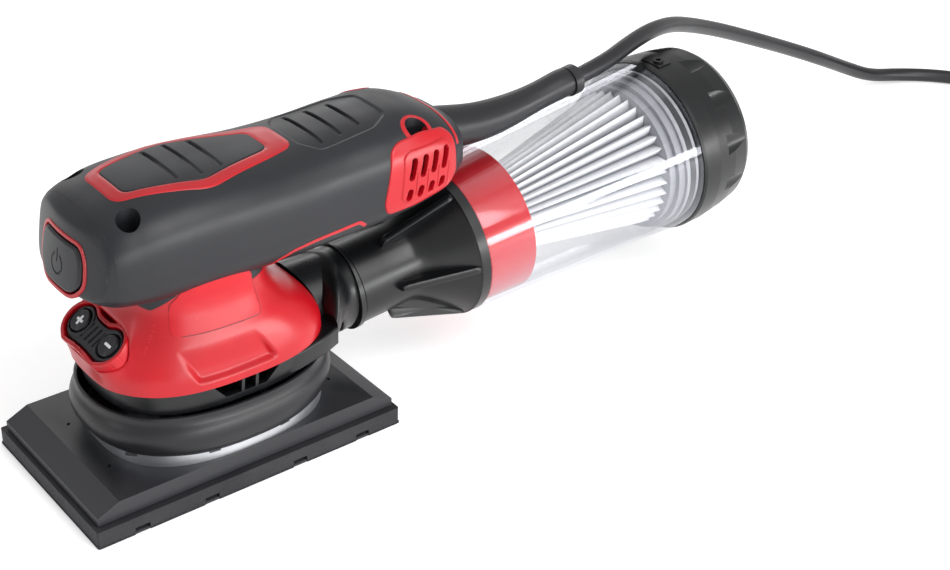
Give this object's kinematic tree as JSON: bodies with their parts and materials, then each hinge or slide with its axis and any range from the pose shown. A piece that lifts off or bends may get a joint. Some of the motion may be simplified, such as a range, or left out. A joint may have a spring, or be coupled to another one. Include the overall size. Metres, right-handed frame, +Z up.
{
  "type": "orbital sander",
  "caption": "Corded palm orbital sander with a rectangular pad, a long overhanging handle and a clear dust container with a pleated filter behind it.",
  "frame": {"origin": "centre of the pad's sanding face, on the surface it rests on", "axes": "+X back along the tool to the dust container, +Z up, -Y the side with the near vent grille"},
  "size_m": [0.7716, 0.1612, 0.1221],
  "materials": {
    "hook_fabric": "matt",
    "foam": "matt",
    "pad_plastic": "satin",
    "steel": "satin",
    "aluminium": "satin",
    "rubber": "satin",
    "black_plastic": "satin",
    "brass": "satin",
    "copper": "satin",
    "red_plastic": "satin",
    "charcoal_plastic": "satin",
    "board": "satin",
    "red_clear": "gloss",
    "clear": "gloss",
    "filter_grey": "satin",
    "filter_paper": "matt"
  },
  "bodies": {
    "housing": {"lower_bearing": "steel", "upper_bearing": "steel", "handle_screws": "steel", "plug_pins": "steel", "stator": "steel", "heat_sink": "aluminium", "strain_relief": "rubber", "cord_tube": "rubber", "cord_coil": "rubber", "cord_tail": "rubber", "plug": "rubber", "fan_housing": "black_plastic", "bearing_plate": "black_plastic", "bearing_bridge": "black_plastic", "outlet_port": "black_plastic", "port_collar": "black_plastic", "power_switch": "black_plastic", "cord_clamp": "black_plastic", "capacitors": "black_plastic", "windings": "copper", "motor_housing": "red_plastic", "grip_ring": "red_plastic", "button_frame": "red_plastic", "vent_grille_left": "red_plastic", "vent_grille_right": "red_plastic", "handle_cover": "charcoal_plastic", "handle_base": "charcoal_plastic", "grip_pad": "charcoal_plastic", "neck_ring": "charcoal_plastic", "keypad_bezel": "charcoal_plastic", "control_board": "board", "speed_board": "board"},
    "pad": {"hook_face": "hook_fabric", "cushion": "foam", "pad_plate": "pad_plastic", "pad_screws": "steel", "seal_band": "aluminium", "pad_hub": "pad_plastic", "crank_bearing": "steel", "elastic_legs": "rubber", "skirt": "rubber", "skirt_clips": "black_plastic"},
    "drive": {"crank_pin": "steel", "counterweight": "brass", "motor_shaft": "steel", "fan_impeller": "black_plastic", "rotor": "steel"},
    "power_button": {"power_button": "charcoal_plastic"},
    "plus_key": {"plus_key": "charcoal_plastic"},
    "minus_key": {"minus_key": "charcoal_plastic"},
    "dust_head": {"container_funnel": "black_plastic", "funnel_seal": "rubber", "red_ring": "red_clear"},
    "dust_tube": {"container_tube": "clear"},
    "dust_filter": {"filter_frame": "filter_grey", "filter_pleats": "filter_paper", "filter_gasket": "rubber"},
    "dust_cap": {"container_cap": "black_plastic", "cap_seal": "rubber"},
    "cap_latch": {"cap_latch": "black_plastic"}
  },
  "joints": [
    {"name": "shaft_spin", "type": "hinge", "parent": "housing", "child": "drive", "pos_m": [0.001, 0, 0.06], "axis": [0, 0, 1], "continuous": true},
    {"name": "pad_counter", "type": "hinge", "parent": "drive", "child": "pad", "pos_m": [0, 0, 0.0225], "axis": [0, 0, 1], "continuous": true},
    {"name": "power_press", "type": "slide", "parent": "housing", "child": "power_button", "axis": [1, 0, 0], "range_m": [0, 0.0014], "stiffness_N_per_m": 900},
    {"name": "plus_press", "type": "slide", "parent": "housing", "child": "plus_key", "axis": [0.5807, 0, -0.8141], "range_m": [0, 0.0008], "stiffness_N_per_m": 700},
    {"name": "minus_press", "type": "slide", "parent": "housing", "child": "minus_key", "axis": [0.5807, 0, -0.8141], "range_m": [0, 0.0008], "stiffness_N_per_m": 700},
    {"name": "container_pull", "type": "slide", "parent": "housing", "child": "dust_head", "axis": [0.9957, 0, 0.0924], "range_m": [0, 0.04]},
    {"name": "tube_turn", "type": "hinge", "parent": "dust_head", "child": "dust_tube", "pos_m": [0.16607, 0, 0.05474], "axis": [0.9957, 0, 0.0924], "range_deg": [0, 20]},
    {"name": "filter_pull", "type": "slide", "parent": "dust_tube", "child": "dust_filter", "axis": [0.9957, 0, 0.0924], "range_m": [0, 0.095]},
    {"name": "cap_turn", "type": "hinge", "parent": "dust_filter", "child": "dust_cap", "pos_m": [0.24573, 0, 0.06213], "axis": [0.9957, 0, 0.0924], "range_deg": [0, 30]},
    {"name": "latch_press", "type": "slide", "parent": "dust_cap", "child": "cap_latch", "axis": [0.0924, 0, -0.9957], "range_m": [0, 0.0009], "stiffness_N_per_m": 700}
  ],
  "couplings": [
    {"joint": "pad_counter", "follows": "shaft_spin", "ratio": -1}
  ]
}
